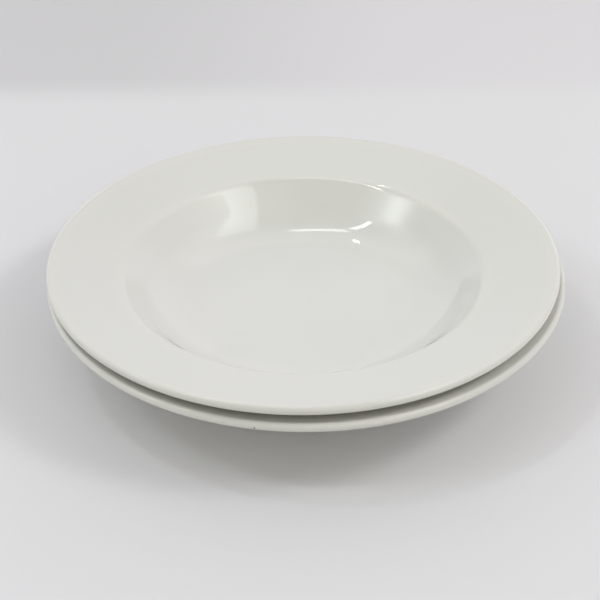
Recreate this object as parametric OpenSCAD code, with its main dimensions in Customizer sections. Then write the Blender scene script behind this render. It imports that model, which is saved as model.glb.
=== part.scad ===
// Two rimmed soup plates in glazed white ware, one nested in the other.
// Both are revolved from one outline: along the top from the middle of the floor,
// up the wall of the well and out over the rim to the round lip, then back
// underneath, down round the foot ring and in to the middle.

/* [Plate] */
// Width of a plate across its lip
plate_d = 230; // [205:1:270]
// Width of the well at its upper edge
well_d = 163; // [150:1:180]
// Depth of the well, from its edge down to its floor
well_depth = 20; // [15:0.5:25]
// Slope of the wide rim, in degrees
rim_slope = 12.5; // [6:0.5:20]
// Slope of the well's wall, in degrees, where it is steepest
wall_slope = 46.5; // [40:0.5:52]

/* [Thickness] */
// Thickness of the rim and of its lip
rim_t = 3.7; // [3:0.1:5]
// Thickness of the well's wall
wall_t = 3.6; // [3:0.1:5]

/* [Foot ring] */
// Height of the hollow under the floor, inside the foot ring
foot_h = 2.8; // [2:0.1:3.5]
// Width of the flat ring that the plate stands on
foot_w = 3.2; // [2:0.1:4.5]
// Lean of the foot ring's two faces, in degrees
foot_lean = 10; // [0:1:20]

/* [Curves] */
// Radius of the bend from the floor up into the wall
bend_r = 33; // [20:1:38]
// Radius of the soft edge between the wall and the rim
edge_r = 7; // [4:0.5:14]
// Radius of the hollow under that edge
under_edge_r = 6; // [3:0.5:12]
// Radius of the hollow corners beside the foot ring
foot_fillet_r = 1.5; // [0.5:0.1:2.5]
// Radius of the foot ring's own edges
foot_edge_r = 0.8; // [0.3:0.1:1.2]

/* [Nesting] */
// Gap between the walls of two nested plates where they come closest
nest_gap = 0.6; // [0.4:0.1:1.5]
// How far the upper plate lies to the left of the lower one
nest_shift = 1.3; // [0:0.1:2]
// Room between the upper plate's foot and the start of the lower plate's bend
foot_play = 0.5; // [0.3:0.1:2]
// How much wider than the upper plate the lower one came out of the kiln
kiln_growth = 2.9; // [0:0.1:4]

/* [Hidden] */
glaze_colour = [0.93, 0.92, 0.88];
// Sides that a turn is drawn with
$fn = 180;
// Furthest that the straight steps of an arc may lie from the true curve
arc_error = 0.01;
// Share of an edge that its arcs may fill together, so that they never quite meet
arc_room_share = 0.98;

// Each plate in a stack adds this much height: the wall's upright thickness, the gap
// beside it, and the rise that the sideways shift takes up
stack_rise = (wall_t + nest_gap) / cos(wall_slope) + nest_shift * tan(wall_slope);
well_r = well_d / 2;
floor_z = stack_rise;
edge_z = floor_z + well_depth;
// Where the straight wall would meet the floor, and where the flat floor ends
wall_root_r = well_r - well_depth / tan(wall_slope);
floor_r = wall_root_r - bend_r * tan(wall_slope / 2);
// The foot ring has to stand on the flat floor of the plate below
foot_r = floor_r - nest_shift - foot_play;

// Outlines: a corner is [distance from the axis, height, radius of its rounding]
function point(corners, i) =
    let (c = corners[(i + len(corners)) % len(corners)]) [c.x, c.y];
function radius(corners, i) = corners[(i + len(corners)) % len(corners)].z;
function edge(corners, i) = point(corners, i + 1) - point(corners, i);

// Angle by which the outline turns at a corner, positive to the left
function turn(corners, i) =
    let (u = edge(corners, i - 1), v = edge(corners, i))
    atan2(u.x * v.y - u.y * v.x, u * v);

// Length that a corner's arc takes from each of its two edges
function reach(corners, i) = radius(corners, i) * tan(abs(turn(corners, i)) / 2);

// Share of the edge after a corner at which the two arcs on it still fit
function room(corners, i) =
    let (taken = reach(corners, i) + reach(corners, i + 1))
    taken > 0 ? min(1, arc_room_share * norm(edge(corners, i)) / taken) : 1;

function turned(v, angle) =
    [v.x * cos(angle) - v.y * sin(angle), v.x * sin(angle) + v.y * cos(angle)];

// Points of the arc at one corner, or the corner itself where it is left sharp
function arc(corners, i) =
    let (
        angle = turn(corners, i),
        r = radius(corners, i) * min(room(corners, i - 1), room(corners, i)),
        along = edge(corners, i - 1) / norm(edge(corners, i - 1)),
        start = point(corners, i) - along * r * tan(abs(angle) / 2),
        inward = sign(angle) * [-along.y, along.x]
    )
    r <= arc_error ? [point(corners, i)] :
    let (steps = ceil(abs(angle) / (2 * acos(1 - arc_error / r))))
    [for (k = [0 : steps]) start + inward * r + turned(-inward * r, angle * k / steps)];

function rounded(corners) = [for (i = [0 : len(corners) - 1]) each arc(corners, i)];

// The plate's outline, for a plate whose lip is at the given radius
function plate_outline(lip_r) =
    let (
        lip_half = rim_t / 2,
        rim_out = [cos(rim_slope), sin(rim_slope)],
        rim_up = [-sin(rim_slope), cos(rim_slope)],
        rim_upright = rim_t / cos(rim_slope),
        wall_upright = wall_t / cos(wall_slope),
        // Middle of the lip's round end, half a thickness under the rim's top
        lip_x = lip_r - lip_half,
        lip_z = edge_z + (lip_x - well_r) * tan(rim_slope) - rim_upright / 2,
        lip_top = [lip_x, lip_z] + lip_half * (rim_out + rim_up),
        lip_bottom = [lip_x, lip_z] + lip_half * (rim_out - rim_up),
        // Where the undersides of the rim and the wall meet
        under_shift = (wall_upright - rim_upright) / (tan(wall_slope) - tan(rim_slope)),
        under_edge_z = edge_z + under_shift * tan(rim_slope) - rim_upright,
        // Where the underside of the wall levels out beside the foot ring
        under_bend_r = wall_root_r + wall_t * tan(wall_slope / 2),
        under_z = floor_z - wall_t,
        foot_in_r = foot_r - foot_w - under_z * tan(foot_lean)
    )
    rounded([
        [0, floor_z, 0],
        [wall_root_r, floor_z, bend_r],
        [well_r, edge_z, edge_r],
        [lip_top.x, lip_top.y, lip_half],
        [lip_bottom.x, lip_bottom.y, lip_half],
        [well_r + under_shift, under_edge_z, under_edge_r],
        [under_bend_r, under_z, bend_r + wall_t],
        [foot_r, under_z, foot_fillet_r],
        [foot_r - under_z * tan(foot_lean), 0, foot_edge_r],
        [foot_in_r, 0, foot_edge_r],
        [foot_in_r - foot_h * tan(foot_lean), foot_h, foot_fillet_r],
        [0, foot_h, 0]
    ]);

module soup_plate(width) {
    rotate_extrude() polygon(plate_outline(width / 2));
}

module lower_plate() {
    color(glaze_colour) soup_plate(plate_d + kiln_growth);
}

module upper_plate() {
    color(glaze_colour) translate([-nest_shift, 0, stack_rise]) soup_plate(plate_d);
}

lower_plate();
upper_plate();
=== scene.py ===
# Two rimmed soup plates in glazed white ware, one nested in the other.
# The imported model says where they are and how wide; their fine surfaces, the glaze,
# the table, the lamps and the camera are worked out here.
import math

import bpy
import numpy as np
from mathutils import Matrix, Vector


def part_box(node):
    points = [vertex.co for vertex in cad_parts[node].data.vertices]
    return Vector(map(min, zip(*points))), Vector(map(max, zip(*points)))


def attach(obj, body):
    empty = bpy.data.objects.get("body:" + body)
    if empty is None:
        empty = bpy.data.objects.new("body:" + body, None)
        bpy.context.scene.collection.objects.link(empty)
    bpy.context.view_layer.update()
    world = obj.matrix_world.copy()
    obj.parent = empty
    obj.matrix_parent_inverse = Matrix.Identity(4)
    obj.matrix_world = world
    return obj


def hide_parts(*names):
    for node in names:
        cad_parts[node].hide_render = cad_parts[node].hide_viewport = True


mm = 0.001  # the scene is in metres, the plate's sizes are in millimetres

print("loading the packed plates")
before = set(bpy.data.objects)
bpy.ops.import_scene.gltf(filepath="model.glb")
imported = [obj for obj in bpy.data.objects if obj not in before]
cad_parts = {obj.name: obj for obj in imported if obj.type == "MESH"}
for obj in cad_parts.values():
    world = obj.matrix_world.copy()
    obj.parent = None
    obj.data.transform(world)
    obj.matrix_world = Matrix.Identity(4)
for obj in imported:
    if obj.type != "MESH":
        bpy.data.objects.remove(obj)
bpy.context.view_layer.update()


# The plate's shape in millimetres and degrees, and how finely its mesh follows it
plateShape = {
    "wellDiameter": 163.0,
    "wellDepth": 20.0,
    "rimSlope": 12.5,
    "wallSlope": 46.5,
    "rimThickness": 3.7,
    "wallThickness": 3.6,
    "footHollow": 2.8,        # height of the hollow inside the foot ring
    "footWidth": 3.2,
    "footLean": 10.0,
    "footPlay": 0.5,          # room between the foot and the bend it stands beside
    "bendRadius": 33.0,       # from the floor up into the wall
    "edgeRadius": 7.0,        # from the wall over to the rim
    "underEdgeRadius": 6.0,
    "footFilletRadius": 1.5,
    "footEdgeRadius": 0.8,
    "arcRoomShare": 0.98,     # of an edge that its two arcs may fill
    "turnSteps": 384,         # steps once round the plate
    "straightStep": 1.6,      # longest step along the outline
    "bendStep": 7.0,          # widest step round an arc, in degrees
}

# How far a plate is out of true, in millimetres, always down and towards its axis
plateWarp = {
    "dip": 0.25,              # of the lip, at the two places where it hangs lowest
    "draw": 0.12,             # of the lip towards the axis, at three places
    "start": 60.0,            # distance from the axis where the warp begins
    "lowerSeed": 4,           # each seed puts the low places elsewhere
    "upperSeed": 9,
}

# Where glaze gathers and thins, where the clay is bare, where cutlery rubs and where the well is made
# lighter with painted light
plateFinish = {
    "filmSpread": 2.5,        # mm along the outline over which glaze levels out
    "filmPull": 12.0,         # how strongly a bend moves the glaze
    "bareBelow": 0.3,         # mm, the foot is wiped clean up to here
    "bareFade": 0.35,
    "rubbedTo": 50.0,         # mm from the axis
    "rubbedFade": 18.0,
    "rimRubbing": 0.25,
    "pooledAndLitTo": 80.0,         # mm from the axis, the well is lighter within it: painted light, partly pooled glaze
    "pooledAndLitFade": 5.0,
}


def packedPlace(node):
    # Axis, foot height and lip radius of a packed plate, in millimetres
    low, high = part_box(node)
    middle = (low + high) / 2 / mm
    return {"x": middle.x, "y": middle.y, "foot": low.z / mm,
            "lipRadius": (high.x - low.x) / 2 / mm}


def plateCorners(shape, lipRadius, rise, shift):
    # Sharp corners of the outline as rows of distance from the axis, height and
    # rounding. Each is where two straight stretches meet: lines at the slope of the
    # rim, the wall or the foot, one thickness apart on the two faces.
    rim, wall = math.radians(shape["rimSlope"]), math.radians(shape["wallSlope"])
    lean = math.tan(math.radians(shape["footLean"]))
    wellRadius = shape["wellDiameter"] / 2
    edgeHeight = rise + shape["wellDepth"]
    half = shape["rimThickness"] / 2
    outward = half * np.array([math.cos(rim), math.sin(rim)])
    upward = half * np.array([-math.sin(rim), math.cos(rim)])
    rimUpright = shape["rimThickness"] / math.cos(rim)
    wallUpright = shape["wallThickness"] / math.cos(wall)
    lipX = lipRadius - half
    lip = np.array([lipX, edgeHeight + (lipX - wellRadius) * math.tan(rim) - rimUpright / 2])
    underShift = (wallUpright - rimUpright) / (math.tan(wall) - math.tan(rim))
    underEdge = [wellRadius + underShift, edgeHeight + underShift * math.tan(rim) - rimUpright]
    rootRadius = wellRadius - shape["wellDepth"] / math.tan(wall)
    floorRadius = rootRadius - shape["bendRadius"] * math.tan(wall / 2)
    underHeight = rise - shape["wallThickness"]
    underBend = [rootRadius + shape["wallThickness"] * math.tan(wall / 2), underHeight]
    footOuter = floorRadius - shift - shape["footPlay"]
    footInner = footOuter - shape["footWidth"] - underHeight * lean
    hollow = shape["footHollow"]
    return np.array([
        [0.0, rise, 0.0],
        [rootRadius, rise, shape["bendRadius"]],
        [wellRadius, edgeHeight, shape["edgeRadius"]],
        [*(lip + outward + upward), half],
        [*(lip + outward - upward), half],
        [*underEdge, shape["underEdgeRadius"]],
        [*underBend, shape["bendRadius"] + shape["wallThickness"]],
        [footOuter, underHeight, shape["footFilletRadius"]],
        [footOuter - underHeight * lean, 0.0, shape["footEdgeRadius"]],
        [footInner, 0.0, shape["footEdgeRadius"]],
        [footInner - hollow * lean, hollow, shape["footFilletRadius"]],
        [0.0, hollow, 0.0],
    ])


def roundedOutline(corners, shape):
    # Each corner becomes the arc that touches both its edges, and the straight
    # stretches between are cut into short steps. Gives the points and their bend,
    # 1 / radius, which is positive where the surface is hollow.
    spots, radii = corners[:, :2], corners[:, 2]
    edges = np.roll(spots, -1, axis=0) - spots
    lengths = np.hypot(*edges.T)
    after = edges / lengths[:, None]
    before = np.roll(after, 1, axis=0)
    turns = np.arctan2(before[:, 0] * after[:, 1] - before[:, 1] * after[:, 0],
                       (before * after).sum(axis=1))
    reach = radii * np.tan(np.abs(turns) / 2)
    taken = np.maximum(reach + np.roll(reach, -1), 1e-9)  # never zero, to divide by it
    room = np.minimum(1.0, shape["arcRoomShare"] * lengths / taken)
    fit = np.minimum(room, np.roll(room, 1))
    radii, reach = radii * fit, reach * fit
    starts, ends = spots - before * reach[:, None], spots + after * reach[:, None]
    rows = []
    for i in range(len(corners)):
        side = np.sign(turns[i])
        centre = starts[i] + side * radii[i] * np.array([-before[i, 1], before[i, 0]])
        arm = starts[i] - centre
        steps = math.ceil(max(abs(turns[i]) / math.radians(shape["bendStep"]),
                              abs(turns[i]) * radii[i] / shape["straightStep"]))
        angle = turns[i] * np.linspace(0, 1, steps + 1 if radii[i] > 0 else 1)
        arc = np.column_stack([
            centre[0] + arm[0] * np.cos(angle) - arm[1] * np.sin(angle),
            centre[1] + arm[0] * np.sin(angle) + arm[1] * np.cos(angle),
            np.full(len(angle), side / radii[i] if radii[i] > 0 else 0.0),
        ])
        rows.append(arc)
        if i + 1 < len(corners):
            gap = starts[i + 1] - ends[i]
            share = np.linspace(0, 1, math.ceil(np.hypot(*gap) / shape["straightStep"]) + 1)[1:-1]
            line = ends[i] + gap * share[:, None]
            rows.append(np.column_stack([line, np.zeros(len(line))]))
    outline = np.vstack(rows)
    return outline[:, :2], outline[:, 2]


def outlineFinish(points, bends, finish):
    # Four shares per outline point. The film is the bend averaged along the outline
    # with a bell curve: positive where glaze gathers. Bare is 1 on the wiped foot,
    # rubbed is 1 on the floor of the well and the well share is 1 all over the well,
    # where the glaze is made lighter: painted light, partly pooled glaze.
    steps = np.hypot(*np.diff(points, axis=0).T)
    along = np.concatenate([[0.0], np.cumsum(steps)])
    weight = np.gradient(along)
    bell = np.exp(-0.5 * ((along[:, None] - along) / finish["filmSpread"]) ** 2) * weight
    film = np.tanh(finish["filmPull"] * (bell @ bends) / bell.sum(axis=1))
    radius, height = points.T
    bare = np.clip(1 - (height - finish["bareBelow"]) / finish["bareFade"], 0, 1)
    top = along < along[np.argmax(radius)]
    rubbed = np.clip(1 - (radius - finish["rubbedTo"]) / finish["rubbedFade"], 0, 1)
    rubbed = np.where(top, np.maximum(rubbed, finish["rimRubbing"]), 0.0)
    pooledAndLit = np.clip((finish["pooledAndLitTo"] - radius) / finish["pooledAndLitFade"] + 0.5, 0, 1)
    pooledAndLit = np.where(top, pooledAndLit, 0.0)
    return {"glazeFilm": film, "bareClay": bare, "rubbed": rubbed, "pooledAndLitWell": pooledAndLit}


def warpedRings(ring, place, warp, turnSteps, seed):
    # Point (i, j) is outline point i turned about the axis by j steps of a full turn,
    # then let down and drawn in by the warp, which grows with the square of the
    # distance from where it begins
    phase = np.random.default_rng(seed).uniform(0, 2 * math.pi, 2)
    angle = np.linspace(0, 2 * math.pi, turnSteps, endpoint=False)
    outer = np.clip((ring[:, 0] - warp["start"]) / (place["lipRadius"] - warp["start"]), 0, 1)
    outer = (outer ** 2)[:, None]
    dip = warp["dip"] * outer * (1 - np.cos(2 * angle + phase[0])) / 2
    draw = warp["draw"] * outer * (1 - np.cos(3 * angle + phase[1])) / 2
    radius = ring[:, :1] - draw
    return np.stack([
        place["x"] + radius * np.cos(angle),
        place["y"] + radius * np.sin(angle),
        place["foot"] + ring[:, 1:] - dip,
    ], axis=-1)


def ringFaces(rings, turnSteps):
    # A four-sided face joins each point to the next ring and the next step of the turn,
    # and triangles close the first ring to the upper pole and the last to the lower one
    i, j = np.meshgrid(np.arange(rings - 1), np.arange(turnSteps), indexing="ij")
    k = (j + 1) % turnSteps
    quads = np.stack([i * turnSteps + j, (i + 1) * turnSteps + j,
                      (i + 1) * turnSteps + k, i * turnSteps + k], axis=-1).reshape(-1, 4)
    first = np.arange(turnSteps)
    follow = (first + 1) % turnSteps
    last = (rings - 1) * turnSteps
    upperPole, lowerPole = rings * turnSteps, rings * turnSteps + 1
    caps = np.vstack([
        np.column_stack([np.full(turnSteps, upperPole), first, follow]),
        np.column_stack([last + follow, last + first, np.full(turnSteps, lowerPole)]),
    ])
    return quads, caps


def revolvePlate(name, place, rise, shift, seed):
    # The rounded outline turned about the plate's axis, with each outline point's
    # finish kept as attributes of its ring
    turnSteps = plateShape["turnSteps"]
    corners = plateCorners(plateShape, place["lipRadius"], rise, shift)
    points, bends = roundedOutline(corners, plateShape)
    grid = warpedRings(points[1:-1], place, plateWarp, turnSteps, seed)
    poles = [[place["x"], place["y"], place["foot"] + points[end, 1]] for end in (0, -1)]
    vertices = np.vstack([grid.reshape(-1, 3), poles]) * mm
    quads, caps = ringFaces(len(grid), turnSteps)
    mesh = bpy.data.meshes.new(name)
    mesh.from_pydata(vertices.tolist(), [], quads.tolist() + caps.tolist())
    mesh.polygons.foreach_set("use_smooth", np.ones(len(mesh.polygons), bool))
    for label, values in outlineFinish(points, bends, plateFinish).items():
        spread = np.concatenate([np.repeat(values[1:-1], turnSteps), values[[0, -1]]])
        mesh.attributes.new(label, "FLOAT", "POINT").data.foreach_set("value", spread)
    mesh.validate()
    piece = bpy.data.objects.new(name, mesh)
    bpy.context.collection.objects.link(piece)
    triangles = 2 * len(quads) + len(caps)
    print(f"  {name}: {len(points)} points round the outline, {triangles} triangles")
    return piece


print("revolving the plates")
lowerPlace, upperPlace = packedPlace("lower_plate"), packedPlace("upper_plate")
stackRise = upperPlace["foot"] - lowerPlace["foot"]
stackShift = lowerPlace["x"] - upperPlace["x"]
lowerPlate = revolvePlate("lowerSoupPlate", lowerPlace, stackRise, stackShift, plateWarp["lowerSeed"])
upperPlate = revolvePlate("upperSoupPlate", upperPlace, stackRise, stackShift, plateWarp["upperSeed"])


# White glaze over a cream body. Sizes in millimetres, colours linear. A range gives
# the two values of a noise between which its effect goes from none to full.
glazeLook = {
    "even": (0.672, 0.673, 0.645),
    "thick": (0.664, 0.667, 0.640),   # where the glaze has gathered
    "thin": (0.682, 0.678, 0.645),    # over edges, where the body shows through
    "pooledAndLit": (0.702, 0.702, 0.680),  # in the well, lighter: painted light, partly pooled glaze
    "cloudTint": (0.662, 0.666, 0.640),
    "cloudShare": 0.35,
    "cloudSize": 45.0,                # slow changes of tone
    "cloudRange": (0.35, 0.70),
    "speck": (0.330, 0.270, 0.200),
    "speckShare": 0.55,
    "speckSpacing": 11.0,
    "speckRadius": 0.22,
    "speckCore": 0.5,                 # share of the radius that is darkest
    "speckPit": 0.02,
    "clay": (0.640, 0.590, 0.500),    # bare foot ring
    "clayTones": (0.88, 1.08),        # of its grain, as shares of the clay's colour
    "clayEdge": (0.42, 0.58),         # share of bareness where the glaze ends
    "clayEdgeSpread": 0.7,            # how ragged that edge is
    "clayEdgeSize": 2.5,
    "clayRoughness": 0.8,
    "grainSize": 0.35,
    "grainHeight": 0.03,
    "refraction": 1.5,
    "roughness": 0.014,
    "roughnessSpread": 0.012,
    "glossSize": 18.0,                # patches of more and less gloss
    "glossRange": (0.3, 0.7),
    "peelSize": 5.0,                  # soft ripple of the fired glaze
    "peelHeight": 0.0022,
    "lowerOffset": (0.31, 0.17, 0.05),  # metres, so that the two plates differ
    "upperOffset": (0.0, 0.0, 0.0),
}

# Fine marks that cutlery leaves where the plate is rubbed
cutleryMarks = {
    "turns": (0.3, 1.5, 2.6),         # radians, the ways in which they run
    "stretch": (1.0, 0.03, 0.3),      # of the noise, which makes lines of it
    "size": 0.5,
    "range": (0.70, 0.78),
    "patchSize": 25.0,
    "patchRange": (0.45, 0.65),
    "roughness": 0.16,
}

# Small pinhole in the lower plate's lip: where it is and how wide, in millimetres.
# Its near-black colour is painted shade inside the hole.
pinhole = {
    "azimuth": 259.6,                 # degrees, 270 is the photograph's front
    "belowLipTop": 2.3,
    "inset": 0.15,                    # from the lip's widest
    "radius": 0.45,
    "core": 0.45,                     # share of the radius that is darkest
    "depth": 0.25,
    # painted shade inside the hole
    "colour": (0.05, 0.04, 0.03),
}


def addNode(tree, kind, inputs=None, **settings):
    node = tree.nodes.new(kind)
    for key, value in settings.items():
        setattr(node, key, value)
    for key, value in (inputs or {}).items():
        if isinstance(value, bpy.types.NodeSocket):
            tree.links.new(value, node.inputs[key])
        else:
            node.inputs[key].default_value = value
    return node


def calculate(tree, operation, first, second=0.0, third=0.0):
    node = addNode(tree, "ShaderNodeMath", {0: first, 1: second, 2: third}, operation=operation)
    return node.outputs[0]


def blendColours(tree, factor, first, second):
    # Sockets 6, 7 and 2 are the mix node's two colours and its result
    node = addNode(tree, "ShaderNodeMix", {"Factor": factor, 6: first, 7: second}, data_type="RGBA")
    return node.outputs[2]


def rampBetween(tree, value, low, high, lowResult=0.0, highResult=1.0):
    node = addNode(tree, "ShaderNodeMapRange",
                   {"Value": value, "From Min": low, "From Max": high,
                    "To Min": lowResult, "To Max": highResult}, interpolation_type="SMOOTHSTEP")
    return node.outputs[0]


def noiseOf(tree, spot, size, detail=2.0, roughness=0.5):
    # Noise whose features are about size millimetres wide
    node = addNode(tree, "ShaderNodeTexNoise", {"Vector": spot, "Scale": 1 / (size * mm),
                                                "Detail": detail, "Roughness": roughness})
    return node.outputs[0]


def opaque(colour):
    return (*colour, 1.0)


def shareOf(tree, label):
    return addNode(tree, "ShaderNodeAttribute", attribute_name=label).outputs["Fac"]


def bareShare(tree, spot, look):
    # 1 where the clay is bare, with a noise that moves the glaze's edge to and fro
    spread = look["clayEdgeSpread"]
    edge = noiseOf(tree, spot, look["clayEdgeSize"])
    edge = calculate(tree, "MULTIPLY_ADD", edge, spread, -spread / 2)
    return rampBetween(tree, calculate(tree, "ADD", shareOf(tree, "bareClay"), edge), *look["clayEdge"])


def speckShare(tree, spot, look):
    cells = addNode(tree, "ShaderNodeTexVoronoi",
                    {"Vector": spot, "Scale": 1 / (look["speckSpacing"] * mm)}).outputs["Distance"]
    edge = look["speckRadius"] / look["speckSpacing"]
    return rampBetween(tree, cells, edge, edge * look["speckCore"], 0.0, look["speckShare"])


def glazeColour(tree, spot, bare, speck, grain, look):
    # The film's thickness, the lighter well (painted light, partly pooled glaze), slow
    # clouds, sparse specks and then the bare clay, each laid over the one before
    film, pooledAndLit = shareOf(tree, "glazeFilm"), shareOf(tree, "pooledAndLitWell")
    gathered = rampBetween(tree, film, 0.0, 1.0)
    thinned = rampBetween(tree, film, 0.0, -1.0)
    cloud = noiseOf(tree, spot, look["cloudSize"], detail=3.0)
    cloud = rampBetween(tree, cloud, *look["cloudRange"], 0.0, look["cloudShare"])
    darkClay, lightClay = (opaque([tone * c for c in look["clay"]]) for tone in look["clayTones"])
    clay = blendColours(tree, grain, darkClay, lightClay)
    colour = blendColours(tree, gathered, opaque(look["even"]), opaque(look["thick"]))
    for share, layer in ((thinned, opaque(look["thin"])), (pooledAndLit, opaque(look["pooledAndLit"])),
                         (cloud, opaque(look["cloudTint"])), (speck, opaque(look["speck"])),
                         (bare, clay)):
        colour = blendColours(tree, share, colour, layer)
    return colour


def cutleryShare(tree, spot, marks):
    # Noise drawn out into fine lines that run several ways, in patches on rubbed places
    strokes = 0.0
    for turn in marks["turns"]:
        lined = addNode(tree, "ShaderNodeMapping", {"Vector": spot, "Rotation": (0.0, 0.0, turn),
                                                    "Scale": marks["stretch"]}).outputs[0]
        stroke = rampBetween(tree, noiseOf(tree, lined, marks["size"], detail=1.0), *marks["range"])
        strokes = calculate(tree, "MAXIMUM", strokes, stroke)
    patch = rampBetween(tree, noiseOf(tree, spot, marks["patchSize"]), *marks["patchRange"])
    strokes = calculate(tree, "MULTIPLY", strokes, shareOf(tree, "rubbed"))
    return calculate(tree, "MULTIPLY", strokes, patch)


def glazeRoughness(tree, spot, bare, look, marks):
    # Slightly uneven gloss, dulled by the marks of cutlery, and dull bare clay
    smoothest = look["roughness"]
    uneven = noiseOf(tree, spot, look["glossSize"], detail=4.0)
    rough = rampBetween(tree, uneven, *look["glossRange"], smoothest, smoothest + look["roughnessSpread"])
    strokes = cutleryShare(tree, spot, marks)
    rough = calculate(tree, "MULTIPLY_ADD", strokes, marks["roughness"], rough)
    return calculate(tree, "MULTIPLY_ADD", bare, look["clayRoughness"], rough)


def glazeRelief(tree, spot, bare, speck, grain, look):
    # Height in millimetres: ripple of the glaze, grain of the clay, pits at the specks
    ripple = noiseOf(tree, spot, look["peelSize"], detail=1.0)
    relief = calculate(tree, "MULTIPLY", ripple, look["peelHeight"])
    bareGrain = calculate(tree, "MULTIPLY", grain, bare)
    relief = calculate(tree, "MULTIPLY_ADD", bareGrain, look["grainHeight"], relief)
    return calculate(tree, "MULTIPLY_ADD", speck, -look["speckPit"], relief)


def makeGlaze(name, look, marks, offset, hole=None):
    material = bpy.data.materials.new(name)
    material.use_nodes = True
    tree = material.node_tree
    shader = tree.nodes["Principled BSDF"]
    place = addNode(tree, "ShaderNodeTexCoord").outputs["Object"]
    spot = addNode(tree, "ShaderNodeMapping", {"Vector": place, "Location": offset}).outputs[0]
    bare = bareShare(tree, spot, look)
    speck = speckShare(tree, spot, look)
    grain = noiseOf(tree, spot, look["grainSize"], detail=3.0, roughness=0.6)
    colour = glazeColour(tree, spot, bare, speck, grain, look)
    relief = glazeRelief(tree, spot, bare, speck, grain, look)
    if hole:
        away = addNode(tree, "ShaderNodeVectorMath", {0: place, 1: hole["spot"]},
                       operation="DISTANCE").outputs["Value"]
        radius = hole["radius"] * mm
        pit = rampBetween(tree, away, radius, radius * hole["core"])
        # the hole's near-black colour is painted shade
        colour = blendColours(tree, pit, colour, opaque(hole["colour"]))
        relief = calculate(tree, "MULTIPLY_ADD", pit, -hole["depth"], relief)
    bump = addNode(tree, "ShaderNodeBump", {"Height": relief, "Distance": mm, "Strength": 1.0}).outputs[0]
    tree.links.new(colour, shader.inputs["Base Color"])
    tree.links.new(glazeRoughness(tree, spot, bare, look, marks), shader.inputs["Roughness"])
    tree.links.new(bump, shader.inputs["Normal"])
    shader.inputs["IOR"].default_value = look["refraction"]
    return material


print("glazing the plates")
turn = math.radians(pinhole["azimuth"])
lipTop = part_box("lower_plate")[1].z / mm
holeRadius = lowerPlace["lipRadius"] - pinhole["inset"]
pinhole["spot"] = ((lowerPlace["x"] + holeRadius * math.cos(turn)) * mm,
                   (lowerPlace["y"] + holeRadius * math.sin(turn)) * mm,
                   (lipTop - pinhole["belowLipTop"]) * mm)
lowerGlaze = makeGlaze("lowerGlaze", glazeLook, cutleryMarks, glazeLook["lowerOffset"], pinhole)
upperGlaze = makeGlaze("upperGlaze", glazeLook, cutleryMarks, glazeLook["upperOffset"])
for piece, glaze, node, slot in ((lowerPlate, lowerGlaze, "lower_plate", "lower_glaze"),
                                 (upperPlate, upperGlaze, "upper_plate", "upper_glaze")):
    piece.data.materials.append(glaze)
    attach(piece, node)
    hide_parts(node)


# Pale table top that runs on into a backdrop darkened with painted shade, most at the left
table = {
    "halfWidth": 3.0,
    "gridPoints": 13,         # along each side
    "near": (0.705, 0.700, 0.720),
    # the backdrop's two tones hold painted shade, deeper on the left
    "farLeftShade": (0.594, 0.588, 0.607),
    "farRightShade": (0.674, 0.664, 0.688),
    "farStarts": 0.235,       # metres behind the plates, where the tone changes
    "farFull": 0.275,
    "leftEnds": -0.13,        # metres from the middle, the far tone is the left one
    "rightStarts": 0.09,      # up to here and the right one from here
    "roughness": 0.6,
}


def makeTable(look):
    # A flat grid: x and y run from minus to plus the half width, the height is zero
    count = look["gridPoints"]
    across = np.linspace(-look["halfWidth"], look["halfWidth"], count)
    x, y = np.meshgrid(across, across, indexing="ij")
    vertices = np.column_stack([x.ravel(), y.ravel(), np.zeros(x.size)])
    i, j = np.meshgrid(np.arange(count - 1), np.arange(count - 1), indexing="ij")
    corner = (i * count + j).ravel()
    faces = np.column_stack([corner, corner + count, corner + count + 1, corner + 1])
    mesh = bpy.data.meshes.new("tableTop")
    mesh.from_pydata(vertices.tolist(), [], faces.tolist())
    material = bpy.data.materials.new("paleTable")
    material.use_nodes = True
    tree = material.node_tree
    shader = tree.nodes["Principled BSDF"]
    place = addNode(tree, "ShaderNodeTexCoord").outputs["Object"]
    side, depth, _ = addNode(tree, "ShaderNodeSeparateXYZ", {0: place}).outputs
    right = rampBetween(tree, side, look["leftEnds"], look["rightStarts"])
    far = rampBetween(tree, depth, look["farStarts"], look["farFull"])
    # painted shade on the backdrop, deeper on the left
    backdrop = blendColours(tree, right, opaque(look["farLeftShade"]), opaque(look["farRightShade"]))
    colour = blendColours(tree, far, opaque(look["near"]), backdrop)
    tree.links.new(colour, shader.inputs["Base Color"])
    shader.inputs["Roughness"].default_value = look["roughness"]
    mesh.materials.append(material)
    top = bpy.data.objects.new("tableTop", mesh)
    bpy.context.collection.objects.link(top)


print("laying the table")
makeTable(table)


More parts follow.
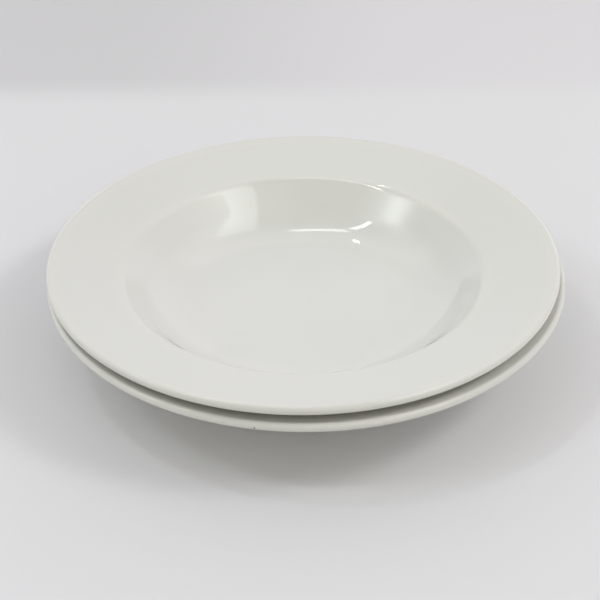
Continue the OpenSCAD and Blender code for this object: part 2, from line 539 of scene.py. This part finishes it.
# Flat lamps, which look straight down. Lengths are in metres and turns in degrees seen
# from above. The soft share of a side fades out towards its ends. Lamps that shade
# light the scene and don't show in the glaze, and the others only show in the glaze.
# The wide soft ones of these hang a little higher, because a lamp hides what is above it.
lamps = {
    "keyLamp": {"middle": (-1.32, 0.485, 2.5), "sides": (0.10, 0.10), "turn": 0, "soft": 0.0,
                "colour": (0.91, 0.87, 1.0), "brightness": 152.0, "shades": True},
    "stripLamp": {"middle": (-0.60, -0.415, 2.5), "sides": (2.0, 0.11), "turn": 0, "soft": 0.0,
                  "colour": (0.94, 0.89, 1.0), "brightness": 6.5, "shades": True},
    "rightWindow": {"middle": (1.20, -0.10, 1.25), "sides": (0.80, 0.80), "turn": 0, "soft": 1.0,
                    "colour": (0.96, 1.0, 0.94), "brightness": 13.5, "shades": True},
    "highWindow": {"middle": (2.2, -0.6, 2.2), "sides": (1.2, 1.2), "turn": 0, "soft": 1.0,
                   "colour": (0.80, 0.84, 1.0), "brightness": 6.2, "shades": True},
    "leftWindow": {"middle": (-1.08, -0.20, 1.25), "sides": (0.60, 0.50), "turn": 0, "soft": 1.0,
                   "colour": (0.86, 0.91, 1.0), "brightness": 11.6, "shades": True},
    "leftPatch": {"middle": (0.60, -0.15, 1.20), "sides": (0.42, 0.98), "turn": 18, "soft": 0.15,
                  "colour": (0.96, 0.98, 1.0), "brightness": 1.5, "shades": False},
    "leftPatchCore": {"middle": (0.76, -0.20, 1.21), "sides": (0.80, 1.40), "turn": 25, "soft": 1.0,
                      "colour": (0.96, 0.98, 1.0), "brightness": 1.3, "shades": False},
    "leftPatchGlow": {"middle": (1.05, -0.10, 1.22), "sides": (1.50, 1.40), "turn": 0, "soft": 0.8,
                      "colour": (1.0, 1.0, 0.98), "brightness": 0.8, "shades": False},
    "rightPatch": {"middle": (-1.18, -0.22, 1.20), "sides": (0.72, 0.64), "turn": 0, "soft": 1.0,
                   "colour": (0.94, 1.0, 1.0), "brightness": 2.6, "shades": False},
    "rightPatchGlow": {"middle": (-1.03, -0.12, 1.21), "sides": (1.30, 1.20), "turn": 0, "soft": 1.0,
                       "colour": (0.92, 1.0, 0.93), "brightness": 2.2, "shades": False},
    "ceilingGlow": {"middle": (-0.05, 0.70, 1.23), "sides": (4.40, 1.30), "turn": 0, "soft": 0.7,
                    "colour": (1.0, 0.98, 1.0), "brightness": 0.5, "shades": False},
    "tubeBehind": {"middle": (-0.098, 0.333, 1.20), "sides": (0.38, 0.12), "turn": 14, "soft": 0.35,
                   "colour": (1.0, 0.99, 0.92), "brightness": 4.6, "shades": False},
    "tubeLeft": {"middle": (-0.464, 0.067, 1.20), "sides": (0.52, 0.062), "turn": 43, "soft": 0.35,
                 "colour": (1.0, 1.0, 0.90), "brightness": 11.0, "shades": False},
    "bulb": {"middle": (-0.185, 0.708, 1.20), "sides": (0.028, 0.11), "turn": -14, "soft": 0.0,
             "colour": (1.0, 1.0, 0.96), "brightness": 18.0, "shades": False},
}

# Glow of the room: each is brightest where it aims and falls off as a power of the
# cosine of the angle from there. Azimuth 0 is the photograph's right, 90 its back.
roomGlows = {
    "back": {"azimuth": 90, "elevation": 0, "power": 1, "colour": (0.91, 0.90, 0.90)},
    "right": {"azimuth": 0, "elevation": 0, "power": 1, "colour": (0.60, 0.54, 0.59)},
    "left": {"azimuth": 180, "elevation": 0, "power": 1, "colour": (0.88, 0.91, 0.87)},
    "frontLeft": {"azimuth": 240, "elevation": 35, "power": 6, "colour": (0.15, 0.10, 0.04)},
    "frontRight": {"azimuth": 300, "elevation": 35, "power": 6, "colour": (0.94, 0.98, 0.80)},
}
paleBackdrop = (0.72, 0.71, 0.73)  # what the camera sees past the table's end


def softStrength(tree, share):
    # 1 in the middle of a lamp, fading to 0 at its edges over the given share of a side
    place = addNode(tree, "ShaderNodeNewGeometry").outputs["Parametric"]
    sides = addNode(tree, "ShaderNodeSeparateXYZ", {0: place}).outputs
    fades = []
    for side in (sides[0], sides[1]):
        away = calculate(tree, "ABSOLUTE", calculate(tree, "SUBTRACT", side, 0.5))
        fades.append(rampBetween(tree, away, 0.5, 0.5 - share / 2))
    return calculate(tree, "MULTIPLY", *fades)


def hangLamp(name, lamp):
    width, depth = lamp["sides"]
    data = bpy.data.lights.new(name, "AREA")
    data.shape = "RECTANGLE"
    data.size, data.size_y = width, depth
    data.color = lamp["colour"]
    data.energy = 4 * width * depth * lamp["brightness"]  # a brightness of 1 shows as white
    if lamp["soft"]:
        data.use_nodes = True
        emission = data.node_tree.nodes["Emission"]
        strength = softStrength(data.node_tree, lamp["soft"])
        data.node_tree.links.new(strength, emission.inputs["Strength"])
    light = bpy.data.objects.new(name, data)
    light.location = lamp["middle"]
    light.rotation_euler = (0.0, 0.0, math.radians(lamp["turn"]))
    light.visible_camera = False
    light.visible_diffuse = lamp["shades"]
    light.visible_glossy = not lamp["shades"]
    bpy.context.collection.objects.link(light)


def makeRoom(glows, backdrop):
    # The sum over all glows of colour * max(0, direction . aim) ** power
    world = bpy.data.worlds.new("room")
    world.use_nodes = True
    tree = world.node_tree
    direction = addNode(tree, "ShaderNodeTexCoord").outputs["Generated"]
    total = (0.0, 0.0, 0.0)
    for glow in glows.values():
        azimuth, elevation = math.radians(glow["azimuth"]), math.radians(glow["elevation"])
        aim = (math.cos(elevation) * math.cos(azimuth), math.cos(elevation) * math.sin(azimuth),
               math.sin(elevation))
        facing = addNode(tree, "ShaderNodeVectorMath", {0: direction, 1: aim},
                         operation="DOT_PRODUCT").outputs["Value"]
        share = calculate(tree, "POWER", calculate(tree, "MAXIMUM", facing, 0.0), glow["power"])
        light = addNode(tree, "ShaderNodeVectorMath", {0: glow["colour"], "Scale": share},
                        operation="SCALE").outputs[0]
        total = addNode(tree, "ShaderNodeVectorMath", {0: total, 1: light}, operation="ADD").outputs[0]
    seen = addNode(tree, "ShaderNodeLightPath").outputs["Is Camera Ray"]
    background = tree.nodes["Background"]
    tree.links.new(blendColours(tree, seen, total, opaque(backdrop)), background.inputs["Color"])
    background.inputs["Strength"].default_value = 1.0
    bpy.context.scene.world = world


print("hanging the lamps")
for name, lamp in lamps.items():
    hangLamp(name, lamp)
makeRoom(roomGlows, paleBackdrop)


# The photograph's point of view. The aim is the middle of the upper lip.
viewpoint = {
    "elevation": 31.95,            # degrees above the table
    "distance": 0.7,               # metres from the aim
    "roll": 0.5,                   # degrees
    "focalLength": 1551.0,         # in pixels of the picture
    "pictureSide": 600.0,
    "aimPixel": (303.06, 256.75),  # where the aim shows, from the top left corner
    "sensor": 36.0,                # millimetres
}


def placeCamera(look, aim):
    # A camera at the given elevation looks straight at the aim, is rolled about that
    # line, then turned aside until the aim shows at its pixel
    middle, focal = look["pictureSide"] / 2, look["focalLength"]
    ray = Vector(((look["aimPixel"][0] - middle) / focal, (middle - look["aimPixel"][1]) / focal, -1.0))
    aside = Vector((0.0, 0.0, -1.0)).rotation_difference(ray).to_matrix()
    level = Matrix.Rotation(math.radians(90 - look["elevation"]), 3, "X")
    roll = Matrix.Rotation(math.radians(-look["roll"]), 3, "Z")
    data = bpy.data.cameras.new("viewpoint")
    data.sensor_width = look["sensor"]
    data.lens = focal / look["pictureSide"] * look["sensor"]
    camera = bpy.data.objects.new("viewpoint", data)
    turned = level @ roll @ aside.inverted()
    camera.matrix_world = Matrix.Translation(aim + look["distance"] * level.col[2]) @ turned.to_4x4()
    bpy.context.collection.objects.link(camera)
    bpy.context.scene.camera = camera


print("placing the camera")
upperLow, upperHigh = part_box("upper_plate")
lipMiddle = (upperLow + upperHigh) / 2
lipMiddle.z = upperHigh.z - plateShape["rimThickness"] / 2 * mm
placeCamera(viewpoint, lipMiddle)
bpy.context.scene.view_settings.view_transform = "Standard"
